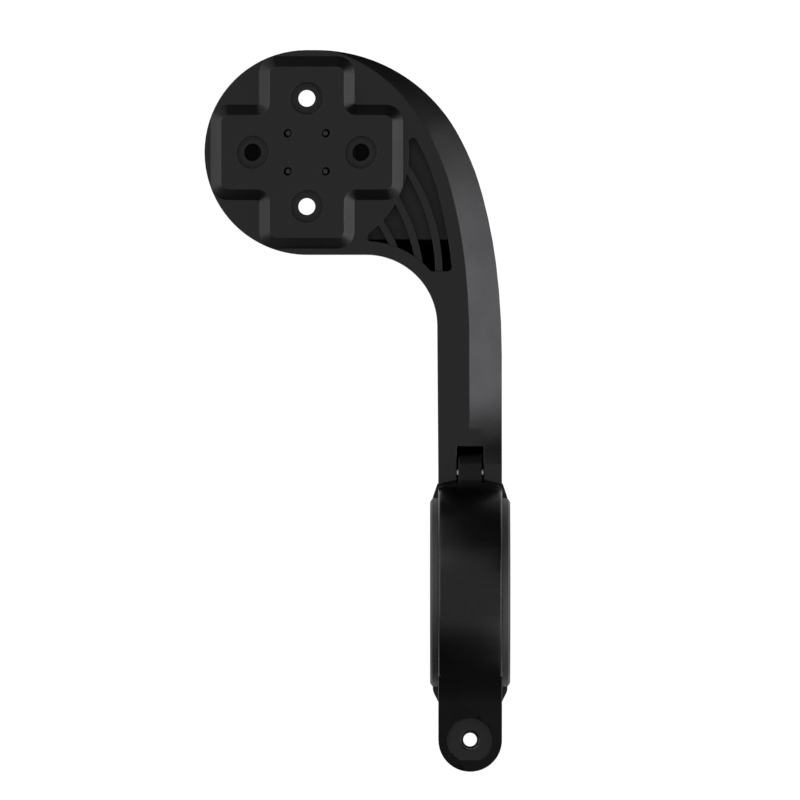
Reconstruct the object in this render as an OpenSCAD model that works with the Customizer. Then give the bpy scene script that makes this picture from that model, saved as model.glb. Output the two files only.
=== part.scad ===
// Out-front bike computer mount with an offset arm, a hinged handlebar clamp and a twist-lock socket.
// The origin is on the handlebar's axis, in the middle of the clamp. X runs along the handlebar,
// Y runs forwards to the head, and Z points out of the screw side, away from the computer.
// The part lies on its computer side. All sizes are in millimetres.

/* [Handlebar clamp] */
// Diameter of the handlebar that the clamp closes on
bar_d = 31.8; // [31.0:0.1:35.0]
// Thickness of the rubber liners between bar and jaws
liner_t = 1.5; // [1.0:0.1:2.0]
// Width of the liners along the bar
liner_w = 15.1; // [14.7:0.1:17.0]
// Height of the strap liner's lips beside the strap
lip_h = 0.5; // [0.3:0.1:1.0]
// Wall of the strap and of the upper jaw round the liners
jaw_t = 3.2; // [2.8:0.1:4.0]
// How far the liner stands out on each side of the fixed jaw
jaw_inset = 0.5; // [0.4:0.1:0.8]
// Width of the strap and of both screw tabs
strap_w = 12; // [11.6:0.1:12.6]
// Gap between strap and jaw when the clamp is closed
split_gap = 1.0; // [0.6:0.1:1.4]

/* [Clamp screw] */
// Distance from the jaw's outer wall to the screw's axis
screw_reach = 7.2; // [6.8:0.1:8.4]
// Seat of the screw head above the middle of the split
seat_z = 4.5; // [3.6:0.1:5.2]
// Diameter of the flat seat under the screw head
seat_d = 8.4; // [7.6:0.1:9.0]
// Distance behind the screw's axis at which the seat runs out of the sloped face
seat_run = 3.8; // [3.4:0.1:4.4]
// Clearance hole of the M3 screw in the strap
clear_d = 3.4; // [3.2:0.1:3.8]
// Diameter of the shallow dish at the mouth of the clearance hole
sink_d = 4.7; // [4.2:0.1:5.2]
// Depth of that dish
sink_depth = 0.15; // [0.1:0.05:0.4]
// Core hole of the M3 thread in the arm
thread_d = 2.6; // [2.4:0.1:3.2]
// Lean of the tabs' outer faces
tab_tilt = 25; // [20:1:28]
// Radius of the hollow between the clamp's curve and the tabs
tab_blend_r = 15; // [10:1:17]

/* [Hinge] */
// Diameter of the barrel on the strap's tongue
barrel_d = 9; // [8.6:0.2:9.4]
// Gap between the barrel and the liners
barrel_gap = 0.6; // [0.5:0.1:1.0]
// Width of the strap's tongue
tongue_w = 4.4; // [4.0:0.1:4.8]
// Side play of the tongue in the arm's slot
slot_play = 0.3; // [0.2:0.05:0.5]
// Diameter of the hinge pin
pin_d = 2.5; // [2.0:0.1:3.0]
// How far each end of the pin lies inside the ear
pin_inset = 0.3; // [0.1:0.1:0.8]
// Radial play of the pin in the tongue, which turns on it
pin_run = 0.05; // [0.02:0.01:0.08]
// Radial play of the pin in the arm's ears, which hold it
pin_hold = 0.02; // [0.01:0.01:0.04]
// Height of the arm's face above the hinge axis
face_z = 3.0; // [2.6:0.1:3.2]
// Lean of the tongue's outer face
tongue_tilt = 22; // [18:1:26]
// Radius of the hollow between tongue and strap
tongue_blend_r = 4; // [3:0.5:6]
// Radius of the strap's rounded front edge, seen from the screw side
front_r = 17.2; // [16:0.2:20]
// How far that edge stands out past the ring, in the middle
front_reach = 0.3; // [0.1:0.1:0.6]
// Gap between the strap's front edge and the ears
front_gap = 0.4; // [0.3:0.1:0.6]

/* [Arm] */
// Width of the straight arm
arm_w = 12; // [11.6:0.1:12.6]
// Depth of the arm from its face to the computer side
arm_depth = 12.5; // [11:0.5:14]
// Distance from the handlebar's axis to the head's centre along Y
head_y = 83; // [80:1:95]
// Sideways distance from the clamp's middle to the head's centre
head_x = 30.8; // [28.4:0.2:34]
// Length of the flat top between the head and the outer sweep
top_flat = 1.8; // [1:0.1:2.4]
// Thickness of the head
head_t = 7; // [6.6:0.2:8]
// Radius of the crook between head and arm
crook_r = 13.4; // [11:0.1:14]
// How much the arm widens on its inner side from the hinge to the crook
crook_in = 0.2; // [0:0.1:0.6]
// Radius of the hollow between jaw and arm on the computer side
arm_blend_r = 12; // [8:1:14]
// Width of the sloped facet along the arm's outer edge
facet_w = 6.2; // [5.0:0.1:6.4]
// Drop of that facet at the outer edge
facet_drop = 5; // [3.5:0.1:5.6]
// Length over which the facet flattens towards the hinge
runout_l = 20; // [16:1:20]
// Drop that is left where the flattened facet meets the ramp up to the ears
runout_drop = 1.9; // [1.2:0.1:2.4]
// Slope of that ramp in degrees
ramp_tilt = 26; // [20:1:40]

/* [Rib pocket] */
// Wall left between the pocket and the arm's outer edge, where the sweep starts
pocket_rim = 8.7; // [7.8:0.1:9.2]
// The same wall at the pocket's tip
pocket_rim_tip = 7.4; // [6.8:0.1:7.8]
// Wall left between the pocket and the crook
pocket_web = 2.6; // [2:0.1:3.5]
// Height of the pocket's flat end above the crook's centre
pocket_end = 10.3; // [9.5:0.1:11.5]
// Depth of the pocket in the head
pocket_depth = 4.5; // [3.5:0.1:4.8]
// Distance from the head's centre to the line where head and arm differ in thickness
step_back = 16.4; // [15.5:0.1:17.5]
// Width of each rib
rib_w = 1.4; // [1.0:0.1:1.8]
// Radius of the ribs' curve
rib_r = 36; // [34:1:40]
// Depth of the ribs' tops below the arm's face
rib_drop = 0.25; // [0.15:0.05:0.6]
// Radius of the pocket's corners
pocket_corner = 0.8; // [0.4:0.1:1]

/* [Screw pad] */
// Width of each arm of the raised cross, on its top
pad_w = 14; // [13:0.2:15]
// Length across the cross, on its top
pad_l = 32.3; // [31:0.1:33]
// Height of the cross above the head, with slopes of 45 degrees
pad_h = 2; // [1.5:0.1:2.2]
// Radius of the cross's outer corners, on its top
pad_r = 1.3; // [0.6:0.1:1.8]
// Radius of the cross's inner corners, at its foot
pad_in_r = 0.4; // [0.2:0.1:1]
// Circle through the four screw holes
screw_pcd = 20.4; // [19.8:0.1:21]
// Diameter of the screw holes
screw_d = 3.2; // [3.0:0.1:3.6]
// Diameter of the screws' counterbores
cbore_d = 6; // [5.6:0.1:6.6]
// Depth of the counterbores
cbore_depth = 1.6; // [1:0.1:2]
// Half the distance between the locating pips
pip_pos = 3.6; // [3.2:0.1:4]
// Diameter of the locating pips
pip_d = 1.0; // [0.8:0.1:1.2]
// Radial gap round each pip
pip_gap = 0.25; // [0.2:0.05:0.35]
// How far each pip sits towards the middle in its hole
pip_shift = 0.12; // [0:0.02:0.14]

/* [Computer socket] */
// Diameter of the throat that the computer's boss passes
throat_d = 21.6; // [20.6:0.1:22.4]
// How far the computer's two lugs stand out from the throat's wall
lug_reach = 2.9; // [2.4:0.1:3.2]
// Radial room round the lugs
turn_room = 0.2; // [0.1:0.05:0.4]
// Width of the two entry slots for the lugs
lug_w = 13.5; // [12:0.1:14.5]
// Thickness of the lips that hold the lugs
lip_t = 1.8; // [1.4:0.1:2.2]
// Depth of the socket from the ring's face
socket_depth = 4.8; // [4.6:0.1:5.2]
// Thickness of the floor between socket and arm
floor_t = 2.4; // [2.0:0.1:3.0]
// Wall of the ring round the lugs
ring_wall = 1.1; // [0.8:0.1:1.6]
// Width of the flange round the ring
flange_lip = 1.0; // [0.8:0.1:1.6]
// Gap between the flange and its recess in the head
flange_gap = 0.1; // [0.05:0.05:0.3]
// Depth of the recess in the head
recess_depth = 3; // [2.5:0.1:3.2]
// Wall of the head round the recess
head_rim = 3.2; // [2.4:0.1:4]
// Radius of the boss on the insert's back
boss_r = 9.4; // [9:0.1:9.8]
// Depth of the hollows beside that boss
hollow_depth = 1.2; // [0.8:0.1:1.4]

/* [Hidden] */
$fn = 96;
bar_r = bar_d / 2;
seat_r = bar_r + liner_t;
ring_r = seat_r + jaw_t;
jaw_w = liner_w - 2 * jaw_inset;
half_gap = split_gap / 2;
barrel_r = barrel_d / 2;
hinge_y = seat_r + barrel_gap + barrel_r;
screw_y = ring_r + screw_reach;
tab_r = strap_w / 2;
tab_end = screw_y + tab_r;
slot_w = tongue_w + 2 * slot_play;
slot_r = barrel_r + barrel_gap;
lug_r = throat_d / 2 + lug_reach + turn_room;
socket_r = lug_r + ring_wall;
flange_r = socket_r + flange_lip;
recess_r = flange_r + flange_gap;
head_r = recess_r + head_rim;
edge_x = arm_w / 2;
back_z = face_z - arm_depth;
head_back = face_z - head_t;
pad_z = face_z + pad_h;
web_z = head_back + recess_depth;
ring_z = web_z - floor_t - socket_depth;
crook = [-edge_x - crook_in - crook_r, head_y - head_r - crook_r];
front_y = ring_r + front_reach - front_r;
shoulder_r = face_z + 1;
// Clearance between glued or seated faces that are curved
glue_gap = 0.05;
// Overshoot of cutting tools past the faces they cut
over = 1;
// Degrees between the points of long curves
curve_step = 2.5;

// The arm's outer edge: tangent arcs that tighten from the straight arm to the head's top.
// Each arc has a radius and the angles of its outward normal at its two ends.
sweep_angles = [0, 6.6, 15.9, 29.9, 90];
// Radii of the arcs, as shares of the last one
sweep_shape = [4.55, 3.17, 1.6, 1];
// Width of the whole sweep, as a share of the last radius
sweep_share = sweep_shape[0] - (sweep_shape[0] - sweep_shape[1]) * cos(sweep_angles[1])
    - (sweep_shape[1] - sweep_shape[2]) * cos(sweep_angles[2])
    - (sweep_shape[2] - sweep_shape[3]) * cos(sweep_angles[3]);
last_r = (edge_x + head_x - top_flat) / sweep_share;
sweep_r = last_r * sweep_shape;
last_y = head_y + head_r - last_r;

// The centre of arc i, found from the last arc's, which is known
function arc_centre(i) = i == 3
    ? [top_flat - head_x, last_y]
    : arc_centre(i + 1) - (sweep_r[i] - sweep_r[i + 1])
        * [cos(sweep_angles[i + 1]), sin(sweep_angles[i + 1])];
function arc_of(a) = a < sweep_angles[1] ? 0 : a < sweep_angles[2] ? 1 : a < sweep_angles[3] ? 2 : 3;
// A point of the outer edge, moved in by inset, where its outward normal has the angle a
function sweep_pt(a, inset = 0) =
    arc_centre(arc_of(a)) + (sweep_r[arc_of(a)] - inset) * [cos(a), sin(a)];
function arc_pts(c, r, a0, a1, step) =
    let (n = max(2, ceil(abs(a1 - a0) / step)))
    [for (i = [0:n]) c + r * [cos(a0 + (a1 - a0) * i / n), sin(a0 + (a1 - a0) * i / n)]];
straight_y = sweep_pt(0)[1];

// Side view of the hollow between the clamp's outer circle and a straight face. The face leans
// by tilt and lies at distance reach from the bar's axis. First point on the circle, last on the face.
function blend_centre(tilt, reach, r) =
    (reach + r) * [sin(tilt), cos(tilt)]
    + sqrt(pow(ring_r + r, 2) - pow(reach + r, 2)) * [cos(tilt), -sin(tilt)];
function blend_pts(tilt, reach, r) =
    let (c = blend_centre(tilt, reach, r), a = atan2(c[1], c[0]) - 180, b = -90 - tilt)
    arc_pts(c, r, a, b, 4);

// Turns a side view drawn as (Y, Z) into a solid of width w across X
module side(w, x = 0) {
    translate([x - w / 2, 0, 0]) rotate([90, 0, 90]) linear_extrude(w) children();
}

module along_x(d, l) {
    rotate([0, 90, 0]) cylinder(d = d, h = l, center = true);
}

module at_head() {
    translate([-head_x, head_y, 0]) children();
}

module at_screws(angles) {
    for (a = angles) rotate(a) translate([screw_pcd / 2, 0, 0]) children();
}

// The half ring of the strap or the jaw, on the side of +Z, with slightly broken edges
module half_ring(w) {
    edge = 0.3;
    difference() {
        rotate([0, 90, 0]) rotate_extrude() polygon([
            [seat_r, -w / 2], [ring_r - edge, -w / 2], [ring_r, edge - w / 2],
            [ring_r, w / 2 - edge], [ring_r - edge, w / 2], [seat_r, w / 2]
        ]);
        translate([-w, -2 * ring_r, half_gap - 2 * ring_r]) cube([2 * w, 4 * ring_r, 2 * ring_r]);
    }
}

// Side view of a screw tab, drawn towards +Y and above the split
tab_face = (screw_y + seat_run) * sin(tab_tilt) + seat_z * cos(tab_tilt);
module tab_side() {
    end_z = (tab_face - tab_end * sin(tab_tilt)) / cos(tab_tilt);
    polygon(concat(
        blend_pts(tab_tilt, tab_face, tab_blend_r),
        [[tab_end, end_z], [tab_end, half_gap], [seat_r, half_gap]]
    ));
}

// A screw tab with its full-round end, on the side of -Y and +Z
module tab() {
    intersection() {
        mirror([0, 1, 0]) side(strap_w) tab_side();
        translate([0, -screw_y, 0]) union() {
            cylinder(r = tab_r, h = ring_r);
            translate([-tab_r, 0, 0]) cube([strap_w, screw_y, ring_r]);
        }
    }
}

// Plan of the arm: straight arm, crook, round head and the long outer sweep
module arm_plan(inset = 0) {
    polygon(concat(
        [[edge_x - inset, 0]],
        [for (a = [0:curve_step:90]) sweep_pt(a, inset)],
        [[-head_x, head_y + head_r - inset], [-head_x, head_y - head_r], [crook[0], head_y - head_r]],
        arc_pts(crook, crook_r, 90, 0, curve_step),
        [[-edge_x, hinge_y], [-edge_x, 0]]
    ));
    if (inset == 0) translate([-head_x, head_y]) circle(head_r, $fn = 180);
}

// Side view of the arm from the jaw to the head
module arm_side() {
    jaw_side = blend_pts(0, -back_z, arm_blend_r);
    step_y = head_y - step_back;
    step_slope = 50;
    floor_shift = 1.2;
    step_l = (head_back - back_z) / tan(step_slope);
    polygon(concat(
        [[seat_r, -half_gap]],
        [for (p = jaw_side) [p[0], -p[1]]],
        [
            [step_y + floor_shift - step_l, back_z], [step_y + floor_shift, head_back],
            [head_y + 2 * head_r, head_back], [head_y + 2 * head_r, face_z],
            [seat_r, face_z]
        ]
    ));
}

// The smaller of two values, eased over r where they are nearly the same
function soft_min(a, b, r) = (a + b - sqrt(pow(a - b, 2) + r * r)) / 2;
// Rises gently from 0 to 1 as u does
function ease(u) = (1 - cos(180 * max(0, min(1, u)))) / 2;

// Cuts the sloped facet along the outer edge. It starts as a ramp by the hinge, steepens along
// the straight arm, and narrows and rounds off on its way round the sweep to the head's top.
module facet_cutter() {
    fade_angle = 85;
    fade_rate = 59;
    narrow_rate = 150;
    round_from = 20;
    round_share = 0.12;
    width_ease = 0.5;
    ramp_ease = 0.6;
    reach = 0.6;
    thin = 0.02;
    ramp_start = 1.7;
    run_y = hinge_y + ramp_start;
    straight_n = 24;
    // Width of the facet where the edge's outward normal has the angle a
    function width(a) = max(thin, facet_w
        * soft_min(1 - a / narrow_rate, (fade_angle - a) / fade_rate, width_ease / facet_w));
    // Drop at distance s from the top of the ramp
    function run_drop(s) = soft_min(
        s * tan(ramp_tilt) + pow(ramp_ease, 2) / 4 / runout_drop,
        runout_drop + (facet_drop - runout_drop) * ease(s / runout_l), ramp_ease);
    // Each station has a point of the edge, the angle of its normal, and the facet's width and drop
    stations = concat(
        [for (i = [0:straight_n - 1])
            let (y = run_y + (straight_y - run_y) * i / straight_n)
            [[edge_x, y], 0, width(0), run_drop(y - run_y)]],
        [for (a = [0:curve_step:fade_angle])
            [sweep_pt(a), a, width(a), facet_drop * width(a) / width(0)]]
    );
    n = len(stations);
    points = [for (s = stations)
        let (
            normal = [cos(s[1]), sin(s[1])],
            inner = s[0] - s[2] * normal,
            mid = s[0] - s[2] / 2 * normal,
            outer = s[0] + reach * normal,
            mid_drop = s[3] * (0.5 - round_share * ease((s[1] - round_from) / round_from))
        )
        each [
            [inner[0], inner[1], face_z],
            [mid[0], mid[1], face_z - mid_drop],
            [outer[0], outer[1], face_z - s[3] * (1 + reach / s[2])],
            [outer[0], outer[1], face_z + over],
            [inner[0], inner[1], face_z + over]
        ]
    ];
    faces = concat(
        [[4, 3, 2], [4, 2, 1], [4, 1, 0]],
        [for (i = [0:n - 2], j = [0:4])
            let (k = (j + 1) % 5)
            each [
                [i * 5 + k, (i + 1) * 5 + k, i * 5 + j],
                [(i + 1) * 5 + k, (i + 1) * 5 + j, i * 5 + j]
            ]],
        [for (j = [0:2]) [n * 5 - 1, n * 5 - 5 + j, n * 5 - 4 + j]]
    );
    polyhedron(points, faces);
}

// Plan of the fan-shaped pocket between head, outer edge and crook
module fan_plan() {
    tip_angle = 32.5;
    $fn = 240;
    offset(r = pocket_corner, $fn = 48) offset(delta = -pocket_corner) difference() {
        intersection() {
            polygon(concat(
                [[-head_x, straight_y]],
                [for (a = [0:curve_step:90])
                    sweep_pt(a, pocket_rim - (pocket_rim - pocket_rim_tip) * a / tip_angle)]
            ));
            translate([-head_x, crook[1] + pocket_end]) square(head_x + edge_x);
        }
        translate([-head_x, head_y]) circle(head_r);
        translate(crook) circle(crook_r + pocket_web);
    }
}

// Plan of the curved ribs, each a part of a ring
module ribs_plan() {
    rib_centres = [[-11.1, -22.9], [-14.4, -26.5], [-16.3, -32.8]];
    $fn = 240;
    for (c = rib_centres) translate([c[0] - head_x, c[1] + head_y]) difference() {
        circle(rib_r + rib_w / 2);
        circle(rib_r - rib_w / 2);
    }
}

// The pocket round its ribs, with a floor that slopes down where the arm gets deeper
module pocket() {
    pocket_z = face_z - pocket_depth;
    deep_z = pocket_z - (head_back - back_z);
    step_y = head_y - step_back;
    difference() {
        intersection() {
            translate([0, 0, deep_z - over]) linear_extrude(arm_depth + 2 * over) fan_plan();
            side(4 * head_x) polygon([
                [0, deep_z], [crook[1] + pocket_end, deep_z], [step_y, pocket_z],
                [head_y + 2 * head_r, pocket_z], [head_y + 2 * head_r, face_z + over], [0, face_z + over]
            ]);
        }
        translate([0, 0, deep_z - 2 * over])
            linear_extrude(face_z - rib_drop - deep_z + 2 * over) ribs_plan();
    }
}

// Outline of the cross, grown by g all round, with rounded outer and inner corners
function cross_pts(g) = [for (q = [0:3], p = cross_quarter(g))
    [p[0] * cos(90 * q) - p[1] * sin(90 * q), p[0] * sin(90 * q) + p[1] * cos(90 * q)]];
function cross_quarter(g) =
    let (w = pad_w / 2, l = pad_l / 2, inner_r = pad_in_r + pad_h - g)
    concat(
        arc_pts([l - pad_r, w - pad_r], pad_r + g, 0, 90, 10),
        arc_pts([w + pad_in_r + pad_h, w + pad_in_r + pad_h], inner_r, 270, 180, 15),
        arc_pts([w - pad_r, l - pad_r], pad_r + g, 0, 90, 10)
    );

// Raised cross with a flat top and slopes of 45 degrees, clipped to the head's edge
module pad() {
    top = cross_pts(0);
    base = cross_pts(pad_h);
    n = len(top);
    root = 0.2;
    at_head() intersection() {
        union() {
            polyhedron(
                concat(
                    [for (p = base) [p[0], p[1], face_z]],
                    [for (p = top) [p[0], p[1], pad_z]],
                    [[0, 0, face_z], [0, 0, pad_z]]
                ),
                [for (i = [0:n - 1])
                    let (k = (i + 1) % n)
                    each [
                        [i, k, 2 * n], [n + k, n + i, 2 * n + 1],
                        [n + i, k, i], [n + i, n + k, k]
                    ]]
            );
            translate([0, 0, face_z - root]) linear_extrude(root) polygon(base);
        }
        cylinder(r = head_r, h = 2 * pad_z);
    }
}

// The fixed jaw's plan: wide round the bar, tapering to the arm in front and to the tab behind
module jaw_plan() {
    wide = jaw_w / 2;
    taper_from = seat_r + 0.7;
    taper_to = ring_r + 0.6;
    front_from = seat_r + 0.5;
    front_step = 0.15;
    side_pts = concat(
        [[edge_x, ring_r], [edge_x + front_step, ring_r], [wide, front_from]],
        [for (u = [0:0.125:1])
            [tab_r + (wide - tab_r) * (1 + cos(180 * u)) / 2, -taper_from - (taper_to - taper_from) * u]]
    );
    for (x = [0, 1]) mirror([x, 0]) polygon(concat(side_pts, [[0, -taper_to], [0, ring_r]]));
}

// One-piece arm: fixed jaw with threaded tab, hinge ears, arm, rib pocket, head and screw pad
module arm() {
    color("#2b2b2c") difference() {
        union() {
            intersection() {
                translate([0, 0, back_z - over]) linear_extrude(arm_depth + 2 * over) arm_plan();
                side(4 * head_x) arm_side();
            }
            // Between jaw and arm the side view reaches back over the crook's lower end
            intersection() {
                side(arm_w) arm_side();
                translate([-edge_x, 0, -ring_r]) cube([arm_w, hinge_y + arm_blend_r, 2 * ring_r]);
            }
            intersection() {
                mirror([0, 0, 1]) half_ring(jaw_w);
                translate([0, 0, -ring_r - over]) linear_extrude(ring_r + over) jaw_plan();
            }
            mirror([0, 0, 1]) tab();
            pad();
        }
        along_x(2 * seat_r, 2 * jaw_w);
        facet_cutter();
        pocket();
        // Rounded ends of the ears, just clear of the strap's front edge
        translate([0, front_y, -half_gap])
            cylinder(r = front_r + front_gap, h = face_z + half_gap + over);
        hinge_slot();
        translate([0, hinge_y, 0]) along_x(pin_d + 2 * pin_hold, 2 * arm_w);
        translate([0, -screw_y, -ring_r]) cylinder(d = thread_d, h = ring_r);
        at_head() {
            at_screws([0:90:270]) {
                translate([0, 0, head_back - over]) cylinder(d = screw_d, h = head_t + 2 * over + pad_h);
                translate([0, 0, pad_z - cbore_depth]) cylinder(d = cbore_d, h = cbore_depth + over);
            }
            for (x = [-1, 1], y = [-1, 1]) translate([x * pip_pos, y * pip_pos, head_back - over])
                cylinder(d = pip_d + 2 * pip_gap, h = head_t + 2 * over + pad_h, $fn = 32);
            translate([0, 0, head_back - over])
                cylinder(r = recess_r, h = recess_depth + over);
        }
    }
}

// The slot between the ears, round at its bottom, open to the screw side and to the bore
module hinge_slot() {
    translate([0, hinge_y, 0]) along_x(2 * slot_r, slot_w);
    translate([-slot_w / 2, hinge_y - slot_r, 0]) cube([slot_w, 2 * slot_r, face_z + over]);
    translate([-slot_w / 2, seat_r - over, -slot_r]) cube([slot_w, hinge_y - seat_r + over, 2 * slot_r]);
}

// Side view of the strap's tongue, which leans back from the hinge barrel to the ring
module tongue_side() {
    reach = hinge_y * sin(tongue_tilt) + barrel_r;
    barrel_pt = [hinge_y, 0] + barrel_r * [sin(tongue_tilt), cos(tongue_tilt)];
    polygon(concat(
        blend_pts(tongue_tilt, reach, tongue_blend_r),
        [barrel_pt, [hinge_y, half_gap], [seat_r, half_gap]]
    ));
}

// Hinged strap: half ring, tongue with barrel, and the tab for the clamp screw
module strap() {
    color("#242425") difference() {
        union() {
            half_ring(strap_w);
            tab();
            difference() {
                side(strap_w) tongue_side();
                // The shoulders beside the tongue stay clear of the ears as the strap opens
                for (x = [-1, 1]) translate([x * (strap_w + tongue_w) / 2, hinge_y, 0])
                    along_x(2 * shoulder_r, strap_w);
            }
            translate([0, hinge_y, 0]) along_x(barrel_d, tongue_w);
        }
        along_x(2 * seat_r, 2 * strap_w);
        for (x = [-1, 1]) {
            translate([x * (strap_w + tongue_w) / 2, hinge_y, 0]) along_x(2 * shoulder_r, strap_w);
            difference() {
                translate([x * (strap_w + tongue_w) / 2 - strap_w / 2, 0, -over])
                    cube([strap_w, 2 * hinge_y, ring_r + 2 * over]);
                translate([0, front_y, -2 * over])
                    cylinder(r = front_r, h = ring_r + 4 * over);
                translate([-strap_w, -over, -2 * over])
                    cube([2 * strap_w, over + 3, ring_r + 4 * over]);
            }
        }
        translate([0, hinge_y, 0]) along_x(pin_d + 2 * pin_run, 2 * strap_w);
        translate([0, -screw_y, -over]) cylinder(d = clear_d, h = ring_r);
        translate([0, -screw_y, seat_z]) cylinder(d = seat_d, h = ring_r);
        translate([0, -screw_y, seat_z - sink_depth]) cylinder(d1 = clear_d, d2 = sink_d, h = sink_depth);
    }
}

// Plain steel pin, pressed into the arm's ears
module hinge_pin() {
    edge = 0.25;
    length = arm_w - 2 * pin_inset;
    color("silver") translate([-length / 2, hinge_y, 0]) rotate([0, 90, 0]) rotate_extrude() polygon([
        [0, 0], [pin_d / 2 - edge, 0], [pin_d / 2, edge],
        [pin_d / 2, length - edge], [pin_d / 2 - edge, length], [0, length]
    ]);
}

// Moulded socket insert: flange in the recess, ring with two lips, entry slots and screw holes
module socket_insert() {
    edge = 0.6;
    seam = 0.5;
    sunk = 0.15;
    ring_h = head_back - ring_z;
    color("#1f1f20") at_head() difference() {
        union() {
            translate([0, 0, head_back]) cylinder(r = flange_r, h = recess_depth);
            translate([0, 0, ring_z]) rotate_extrude() polygon([
                [0, 0], [socket_r - edge, 0], [socket_r, edge], [socket_r, ring_h + seam], [0, ring_h + seam]
            ]);
            for (x = [-1, 1], y = [-1, 1])
                translate([x * (pip_pos - pip_shift), y * pip_pos, web_z - seam])
                    cylinder(d = pip_d, h = pad_z - sunk - web_z + seam, $fn = 32);
        }
        // Throat, undercut for the lugs, and the two slots that let the lugs in
        translate([0, 0, ring_z - over]) cylinder(d = throat_d, h = socket_depth + over);
        translate([0, 0, ring_z + lip_t]) cylinder(r = lug_r, h = socket_depth - lip_t);
        intersection() {
            translate([0, 0, ring_z - over]) cylinder(r = lug_r, h = socket_depth + over);
            translate([-lug_w / 2, -2 * lug_r, ring_z - over])
                cube([lug_w, 4 * lug_r, socket_depth + over]);
        }
        at_screws([90, 270]) translate([0, 0, ring_z]) cylinder(d = screw_d, h = 2 * head_t);
        // Moulded hollows beside the boss on the back, left and right of the screws
        intersection() {
            translate([0, 0, web_z - hollow_depth]) difference() {
                cylinder(r = lug_r, h = hollow_depth + over);
                translate([0, 0, -over]) cylinder(r = boss_r, h = hollow_depth + 3 * over);
            }
            translate([-2 * lug_r, -screw_pcd / 2 + screw_d, ring_z])
                cube([4 * lug_r, screw_pcd - 2 * screw_d, 2 * head_t]);
        }
    }
}

// Half liner on the side of +Z, with lips of height lip beside a carrier of the given width
module liner(carrier_w, lip) {
    lip_in = carrier_w / 2 + glue_gap;
    end = liner_w / 2;
    top = seat_r + lip;
    band = seat_r - glue_gap;
    corner = min(0.4, (end - lip_in) / 2);
    difference() {
        rotate([0, 90, 0]) rotate_extrude() polygon([
            [bar_r, -end], [top - 2 * corner, -end], [top - corner / 2, corner - end], [top, -lip_in],
            [band, -lip_in], [band, lip_in],
            [top, lip_in], [top - corner / 2, end - corner], [top - 2 * corner, end], [bar_r, end]
        ]);
        translate([-liner_w, -2 * ring_r, half_gap - 2 * ring_r])
            cube([2 * liner_w, 4 * ring_r, 2 * ring_r]);
    }
}

// Rubber liner glued into the fixed jaw
module jaw_liner() {
    color("#3a3a3b") mirror([0, 0, 1]) liner(jaw_w, 0);
}

// Rubber liner glued into the strap
module strap_liner() {
    color("#3a3a3b") liner(strap_w, lip_h);
}

arm();
strap();
hinge_pin();
socket_insert();
jaw_liner();
strap_liner();
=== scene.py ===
from math import cos, pi, radians, sin

import bmesh
import bpy
from mathutils import Matrix, Vector


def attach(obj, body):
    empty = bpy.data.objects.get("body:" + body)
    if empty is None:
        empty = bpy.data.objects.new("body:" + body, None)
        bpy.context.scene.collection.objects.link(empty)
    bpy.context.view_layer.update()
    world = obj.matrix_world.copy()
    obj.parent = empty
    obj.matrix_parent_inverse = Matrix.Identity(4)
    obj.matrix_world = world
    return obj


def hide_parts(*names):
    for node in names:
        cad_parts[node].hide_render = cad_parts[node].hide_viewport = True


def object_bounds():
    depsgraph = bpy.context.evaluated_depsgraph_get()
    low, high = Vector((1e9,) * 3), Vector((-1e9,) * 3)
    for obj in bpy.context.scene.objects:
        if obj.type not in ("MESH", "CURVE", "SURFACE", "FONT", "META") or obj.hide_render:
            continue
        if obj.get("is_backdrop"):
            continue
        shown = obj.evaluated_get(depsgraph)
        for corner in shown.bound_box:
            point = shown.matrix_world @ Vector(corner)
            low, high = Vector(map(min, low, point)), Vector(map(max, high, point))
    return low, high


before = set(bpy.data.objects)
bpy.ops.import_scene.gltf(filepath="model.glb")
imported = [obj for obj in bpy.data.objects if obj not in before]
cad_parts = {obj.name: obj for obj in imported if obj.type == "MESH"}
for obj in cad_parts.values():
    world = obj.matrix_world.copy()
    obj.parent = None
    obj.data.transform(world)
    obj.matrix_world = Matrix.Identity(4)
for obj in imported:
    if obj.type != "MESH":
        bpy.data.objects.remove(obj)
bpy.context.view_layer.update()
scene = bpy.context.scene
mm = 0.001

# Table and backdrop
# The mount lies on a pale sweep of card. The card is lit only by the two softboxes,
# and shows as the white ground of the picture.


def colour(hex_code):
    """An sRGB hex value as the linear colour that a shader socket takes."""
    parts = [int(hex_code[i:i + 2], 16) / 255 for i in (1, 3, 5)]
    return [c / 12.92 if c <= 0.04045 else ((c + 0.055) / 1.055) ** 2.4 for c in parts] + [1.0]


def add(tree, kind, links=None, **settings):
    """Adds a node of that kind to a node tree, with its settings and the links into its sockets."""
    node = tree.nodes.new(kind)
    for name, value in settings.items():
        if hasattr(node, name):
            setattr(node, name, value)
        else:
            node.inputs[name.replace("_", " ")].default_value = value
    for socket, source in (links or {}).items():
        tree.links.new(source, node.inputs[socket])
    return node


def new_material(name):
    """An empty node material and its tree."""
    material = bpy.data.materials.new(name)
    material.use_nodes = True
    material.node_tree.nodes.clear()
    return material, material.node_tree


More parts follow.
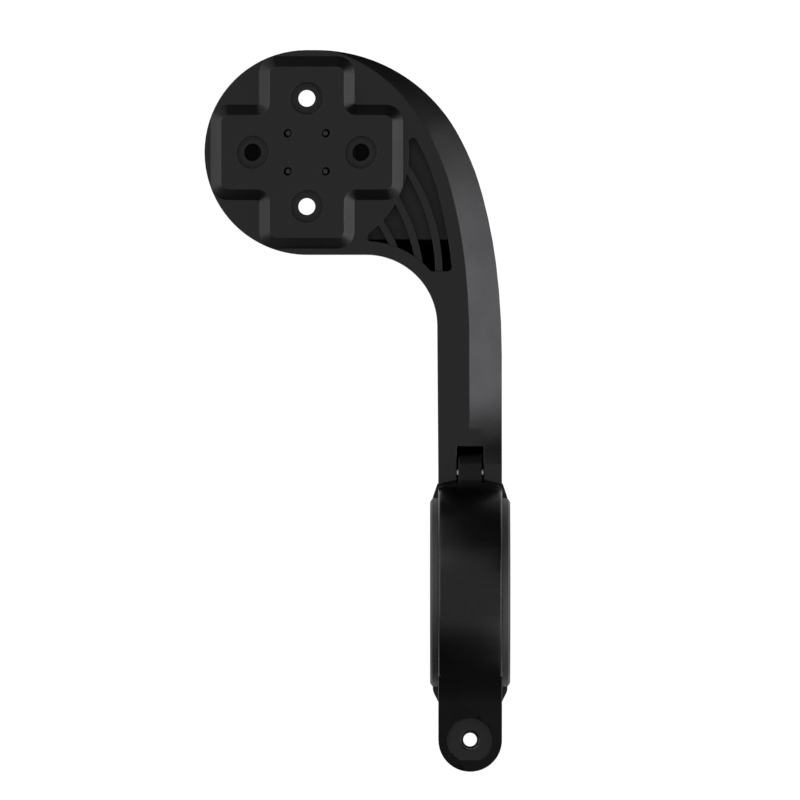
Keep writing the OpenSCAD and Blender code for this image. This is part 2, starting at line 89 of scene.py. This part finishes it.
card, tree = new_material("pale matt card")
path = add(tree, "ShaderNodeLightPath")
seen = add(tree, "ShaderNodeMath", {0: path.outputs["Is Camera Ray"], 1: path.outputs["Is Glossy Ray"]},
           operation="MAXIMUM")
seen = add(tree, "ShaderNodeMath", {0: seen.outputs[0], 1: path.outputs["Is Transmission Ray"]},
           operation="MAXIMUM")
share = add(tree, "ShaderNodeMath", {0: seen.outputs[0]}, operation="MULTIPLY")
share.inputs[1].default_value = 0.94
matt = add(tree, "ShaderNodeBsdfDiffuse", Color=colour("#e9e9e9"))
white = add(tree, "ShaderNodeEmission", Color=colour("#ffffff"), Strength=1.06)
mix = add(tree, "ShaderNodeMixShader", {0: share.outputs[0], 1: matt.outputs[0], 2: white.outputs[0]})
add(tree, "ShaderNodeOutputMaterial", {"Surface": mix.outputs[0]})

bm = bmesh.new()
bmesh.ops.create_grid(bm, x_segments=1, y_segments=1, size=4.0,
                      matrix=Matrix.Translation((0, 0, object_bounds()[0][2] - 0.05 * mm)))
floor_mesh = bpy.data.meshes.new("card_floor")
bm.to_mesh(floor_mesh)
bm.free()
floor = bpy.data.objects.new("card_floor", floor_mesh)
floor.data.materials.append(card)
scene.collection.objects.link(floor)
floor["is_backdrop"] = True

# Camera
# The picture is taken straight down on the screw side with a very long lens. Its middle is
# 13.2 mm left of the clamp and 36.3 mm in front of the handlebar's axis.
middle = Vector((-13.226 * mm, 36.302 * mm, 0))
picture_width = 150.94 * mm
camera_height = 5.0
lens = bpy.data.cameras.new("camera")
lens.type = "PERSP"
lens.sensor_width = 36
lens.lens = lens.sensor_width * camera_height / picture_width
lens.clip_start = 0.05
lens.clip_end = 50
camera = bpy.data.objects.new("camera", lens)
camera.location = middle + Vector((0, 0, camera_height))
scene.collection.objects.link(camera)
scene.camera = camera

# Light
# Two bright softboxes stand left and right of the table, just above it and a little askew, so that
# the edges that face them shine. Cards that glow with painted light close both short ends; dim at their
# foot, they keep those slopes dark.


def softbox(name, side, shift, tilt, distance, height, length, radiance):
    """A long panel of even light that faces the mount from one side, in watts for its size."""
    panel = bpy.data.lights.new(name, "AREA")
    panel.shape = "RECTANGLE"
    panel.size = height
    panel.size_y = length
    panel.energy = radiance * pi * height * length
    box = bpy.data.objects.new(name, panel)
    turn = Matrix.Rotation(side * radians(90 - tilt), 4, "Y")
    box.matrix_world = Matrix.Translation(middle) @ turn @ Matrix.Translation((0, shift, distance))
    box.visible_camera = False
    scene.collection.objects.link(box)
    return box


softbox("left softbox", -1, 0.15, 19, 1.0, 0.45, 1.0, 4.9)
softbox("right softbox", 1, -0.15, 18, 1.0, 0.42, 1.0, 7.8)

# Each end card lies on the table up to the picture's edge, then stands up. Its glow is painted
# light: dim at its foot, it fades up into the white ceiling above.
glowing_card, tree = new_material("end card with painted glow fading upwards")
spot = add(tree, "ShaderNodeTexCoord")
height = add(tree, "ShaderNodeSeparateXYZ", {"Vector": spot.outputs["Object"]})
painted_glow = add(tree, "ShaderNodeMapRange", {"Value": height.outputs["Z"]},
           interpolation_type="SMOOTHSTEP", From_Min=0.55, From_Max=1.3, To_Min=0.12, To_Max=1.0)
# Painted light: the front card glows brighter on the left and the rear card on the right, beside the
# softboxes, as if their spill fell there.
across = add(tree, "ShaderNodeMath", {0: height.outputs["X"], 1: height.outputs["Y"]},
             operation="MULTIPLY")
side_glow = add(tree, "ShaderNodeMapRange", {"Value": across.outputs[0]}, interpolation_type="SMOOTHSTEP",
                From_Min=-0.03, From_Max=-0.3, To_Min=0.0, To_Max=1.3)
painted_glow = add(tree, "ShaderNodeMath", {0: painted_glow.outputs[0], 1: side_glow.outputs[0]}, operation="ADD")
glow = add(tree, "ShaderNodeEmission", {"Strength": painted_glow.outputs[0]}, Color=colour("#ffffff"))
add(tree, "ShaderNodeOutputMaterial", {"Surface": glow.outputs[0]})
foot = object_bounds()[0][2] + 0.5 * mm
bm = bmesh.new()
for end in (-1, 1):
    rows = [[bm.verts.new(middle + Vector((side * 1.45, end * y, z))) for side in (-1, 1)]
            for y, z in ((0.085, foot), (0.8, foot), (0.8, 1.3))]
    for low, high in zip(rows, rows[1:]):
        bm.faces.new((low[0], low[1], high[1], high[0]))
card_mesh = bpy.data.meshes.new("end_cards")
bm.to_mesh(card_mesh)
bm.free()
end_cards = bpy.data.objects.new("end_cards", card_mesh)
end_cards.data.materials.append(glowing_card)
end_cards.visible_camera = False
end_cards.visible_shadow = False
scene.collection.objects.link(end_cards)
end_cards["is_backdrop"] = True

# A black cloth hangs over the front right corner. The short ramp beside the hinge reflects it.
cloth, tree = new_material("black cloth")
felt = add(tree, "ShaderNodeBsdfDiffuse", Color=colour("#101010"))
add(tree, "ShaderNodeOutputMaterial", {"Surface": felt.outputs[0]})
reach = 1.2
bm = bmesh.new()
corners = []
for azimuth, elevation in ((22, 38), (44, 38), (66, 36), (66, 60), (44, 63), (22, 60)):
    aim = Vector((cos(radians(elevation)) * cos(radians(azimuth)),
                  cos(radians(elevation)) * sin(radians(azimuth)), sin(radians(elevation))))
    corners.append(bm.verts.new(middle + aim * reach))
bm.faces.new((corners[0], corners[1], corners[4], corners[5]))
bm.faces.new((corners[1], corners[2], corners[3], corners[4]))
cloth_mesh = bpy.data.meshes.new("hanging_cloth")
bm.to_mesh(cloth_mesh)
bm.free()
hanging = bpy.data.objects.new("hanging_cloth", cloth_mesh)
hanging.data.materials.append(cloth)
hanging.visible_camera = False
hanging.visible_shadow = False
scene.collection.objects.link(hanging)
hanging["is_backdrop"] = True

world = bpy.data.worlds.new("white studio")
scene.world = world
world.use_nodes = True
tree = world.node_tree
tree.nodes.clear()
path = add(tree, "ShaderNodeLightPath")
seen = add(tree, "ShaderNodeMath", {0: path.outputs["Is Camera Ray"], 1: path.outputs["Is Glossy Ray"]},
           operation="MAXIMUM")
seen = add(tree, "ShaderNodeMath", {0: seen.outputs[0], 1: path.outputs["Is Transmission Ray"]},
           operation="MAXIMUM")
dim = add(tree, "ShaderNodeBackground", Color=colour("#ffffff"), Strength=0.5)
white = add(tree, "ShaderNodeBackground", Color=colour("#ffffff"), Strength=1.0)
mix = add(tree, "ShaderNodeMixShader", {0: seen.outputs[0], 1: dim.outputs[0], 2: white.outputs[0]})
add(tree, "ShaderNodeOutputWorld", {"Surface": mix.outputs[0]})

# Arm
# The arm is milled from one block of aluminium: head, ribbed pocket, hinge ears and fixed jaw.
# It is blasted with fine beads and anodised black, so it is satin, and its edges are just broken.


def roomy(edges, least):
    """Those of the edges that have no edge shorter than that in the way of their break."""
    edges = set(edges)
    tight = True
    while tight:
        tight = set()
        for vert in {vert for edge in edges for vert in edge.verts}:
            own = [edge for edge in vert.link_edges if edge in edges]
            corner = len(own) != 2
            if not corner:
                there, back = (edge.other_vert(vert).co - vert.co for edge in own)
                corner = there.angle(back, 0) < radians(150)
            if any(edge.calc_length() < least and (corner or edge not in edges) for edge in vert.link_edges):
                tight.update(own)
        edges -= tight
    return [edge for edge in edges]


def finished(node, break_mm, from_angle, material, shape=None):
    """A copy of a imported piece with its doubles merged, its edges broken and its finish put on."""
    bm = bmesh.new()
    bm.from_mesh(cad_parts[node].data)
    bmesh.ops.remove_doubles(bm, verts=bm.verts, dist=0.002 * mm)
    bmesh.ops.dissolve_limit(bm, angle_limit=radians(0.02), verts=bm.verts, edges=bm.edges,
                             use_dissolve_boundaries=False)
    if shape:
        shape(bm)
    sharp = [e for e in bm.edges
             if e.is_manifold and e.is_convex and e.calc_face_angle(0) > radians(from_angle)]
    bmesh.ops.bevel(bm, geom=roomy(sharp, 1.2 * break_mm * mm), offset=break_mm * mm,
                    offset_type="OFFSET", segments=2, profile=0.5, affect="EDGES",
                    clamp_overlap=False, material=-1)
    for face in bm.faces:
        face.smooth = True
    # The edges of a wide flat stay sharp down to 4 degrees, or its shading would bleed over them.
    for edge in bm.edges:
        wide = max((face.calc_area() for face in edge.link_faces), default=0) > 30 * mm ** 2
        edge.smooth = edge.is_manifold and edge.calc_face_angle(0) < radians(4 if wide else 22)
    mesh = bpy.data.meshes.new(node + "_finished")
    bm.to_mesh(mesh)
    bm.free()
    mesh.materials.append(material)
    piece = bpy.data.objects.new(node + "_finished", mesh)
    scene.collection.objects.link(piece)
    even = piece.modifiers.new("even normals", "WEIGHTED_NORMAL")
    even.keep_sharp = True
    even.weight = 60
    return piece


def anodised(name, hex_code, rough, grain_mm, grain_depth, cloud):
    """Black anodised aluminium: a dyed oxide skin whose blasted grain blurs what it reflects."""
    material, tree = new_material(name)
    spot = add(tree, "ShaderNodeTexCoord")
    grain = add(tree, "ShaderNodeTexNoise", {"Vector": spot.outputs["Object"]},
                Scale=1000 / grain_mm / 2, Detail=3.0, Roughness=0.6)
    clouds = add(tree, "ShaderNodeTexNoise", {"Vector": spot.outputs["Object"]},
                 Scale=120.0, Detail=4.0, Roughness=0.55)
    blur = add(tree, "ShaderNodeMapRange", {"Value": clouds.outputs["Fac"]},
               From_Min=0.3, From_Max=0.7, To_Min=rough - cloud, To_Max=rough + cloud)
    skin = add(tree, "ShaderNodeMapRange", {"Value": grain.outputs["Fac"]},
               From_Min=0.25, From_Max=0.75, To_Min=0.93, To_Max=1.07)
    dye = add(tree, "ShaderNodeVectorMath", {1: skin.outputs[0]}, operation="MULTIPLY")
    dye.inputs[0].default_value = colour(hex_code)[:3]
    bump = add(tree, "ShaderNodeBump", {"Height": grain.outputs["Fac"]},
               Strength=0.35, Distance=grain_depth * mm)
    metal = add(tree, "ShaderNodeBsdfPrincipled",
                {"Base Color": dye.outputs[0], "Roughness": blur.outputs[0], "Normal": bump.outputs[0]},
                Metallic=1.0)
    add(tree, "ShaderNodeOutputMaterial", {"Surface": metal.outputs[0]})
    return material


# Bead-blasted grain of about 0.12 mm, drawn at 0.25 mm so that it shows.
arm_skin = anodised("bead-blasted black anodised aluminium", "#282829", 0.4, 0.25, 0.02, 0.03)
arm = finished("arm", 0.12, 26, arm_skin)
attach(arm, "arm")
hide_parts("arm")

# Strap
# The strap is a second milled piece, tumbled and polished before it was anodised, so it shines
# more, and its outer face is a little higher in the middle than at its edges.


def crown(bm, radius_mm=45, step_mm=1.0):
    """Rounds the strap's outer skin slightly across its width, as polishing leaves it."""
    for i in range(-5, 6):
        bmesh.ops.bisect_plane(bm, geom=bm.verts[:] + bm.edges[:] + bm.faces[:], dist=0.001 * mm,
                               plane_co=(i * step_mm * mm, 0, 0), plane_no=(1, 0, 0))
    for vert in bm.verts:
        out = Vector((0, vert.co.y, vert.co.z))
        if 20.2 < out.length / mm < 20.75 and vert.co.z > 0.6 * mm:
            last = 19.0 if vert.co.y > 0 else 15.3
            share = min(1, max(0, (last - abs(vert.co.y) / mm) / 2.5))
            vert.co -= out.normalized() * (share * vert.co.x ** 2 / (2 * radius_mm * mm))


strap_skin = anodised("tumbled black anodised aluminium", "#272728", 0.28, 0.4, 0.01, 0.03)
strap = finished("strap", 0.12, 28, strap_skin, crown)
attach(strap, "strap")
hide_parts("strap")

# Hinge pin
# A ground steel pin, pressed through both ears. Only its ends and a glint beside the tongue show.
steel, tree = new_material("ground steel")
spot = add(tree, "ShaderNodeTexCoord")
rings = add(tree, "ShaderNodeTexNoise", {"Vector": spot.outputs["Object"]}, Scale=4000.0, Detail=2.0)
blur = add(tree, "ShaderNodeMapRange", {"Value": rings.outputs["Fac"]}, To_Min=0.22, To_Max=0.34)
metal = add(tree, "ShaderNodeBsdfPrincipled", {"Roughness": blur.outputs[0]},
            Base_Color=colour("#b9b9b6"), Metallic=1.0)
add(tree, "ShaderNodeOutputMaterial", {"Surface": metal.outputs[0]})
pin = finished("hinge_pin", 0.05, 28, steel)
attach(pin, "arm")
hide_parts("hinge_pin")

# Socket insert
# The twist-lock socket is moulded in glass-filled nylon and screwed into the head's back.
nylon, tree = new_material("moulded glass-filled nylon")
spot = add(tree, "ShaderNodeTexCoord")
grain = add(tree, "ShaderNodeTexNoise", {"Vector": spot.outputs["Object"]}, Scale=2500.0, Detail=3.0)
blur = add(tree, "ShaderNodeMapRange", {"Value": grain.outputs["Fac"]}, To_Min=0.62, To_Max=0.78)
bump = add(tree, "ShaderNodeBump", {"Height": grain.outputs["Fac"]}, Strength=0.3, Distance=0.02 * mm)
plastic = add(tree, "ShaderNodeBsdfPrincipled", {"Roughness": blur.outputs[0], "Normal": bump.outputs[0]},
              Base_Color=colour("#101011"), IOR=1.53, Specular_IOR_Level=0.3)
add(tree, "ShaderNodeOutputMaterial", {"Surface": plastic.outputs[0]})
socket = finished("socket_insert", 0.1, 28, nylon)
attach(socket, "arm")
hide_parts("socket_insert")

# Liners
# Two moulded rubber half rings, glued into the jaw and the strap so that the bar isn't marked.
rubber, tree = new_material("moulded black rubber")
spot = add(tree, "ShaderNodeTexCoord")
grain = add(tree, "ShaderNodeTexNoise", {"Vector": spot.outputs["Object"]}, Scale=3000.0, Detail=2.0)
blur = add(tree, "ShaderNodeMapRange", {"Value": grain.outputs["Fac"]}, To_Min=0.55, To_Max=0.7)
bump = add(tree, "ShaderNodeBump", {"Height": grain.outputs["Fac"]}, Strength=0.2, Distance=0.01 * mm)
soft = add(tree, "ShaderNodeBsdfPrincipled", {"Roughness": blur.outputs[0], "Normal": bump.outputs[0]},
           Base_Color=colour("#161617"), IOR=1.52)
add(tree, "ShaderNodeOutputMaterial", {"Surface": soft.outputs[0]})
for node, body in (("jaw_liner", "arm"), ("strap_liner", "strap")):
    liner = finished(node, 0.08, 28, rubber)
    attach(liner, body)
    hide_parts(node)

scene.view_settings.view_transform = "Standard"
bpy.context.view_layer.update()
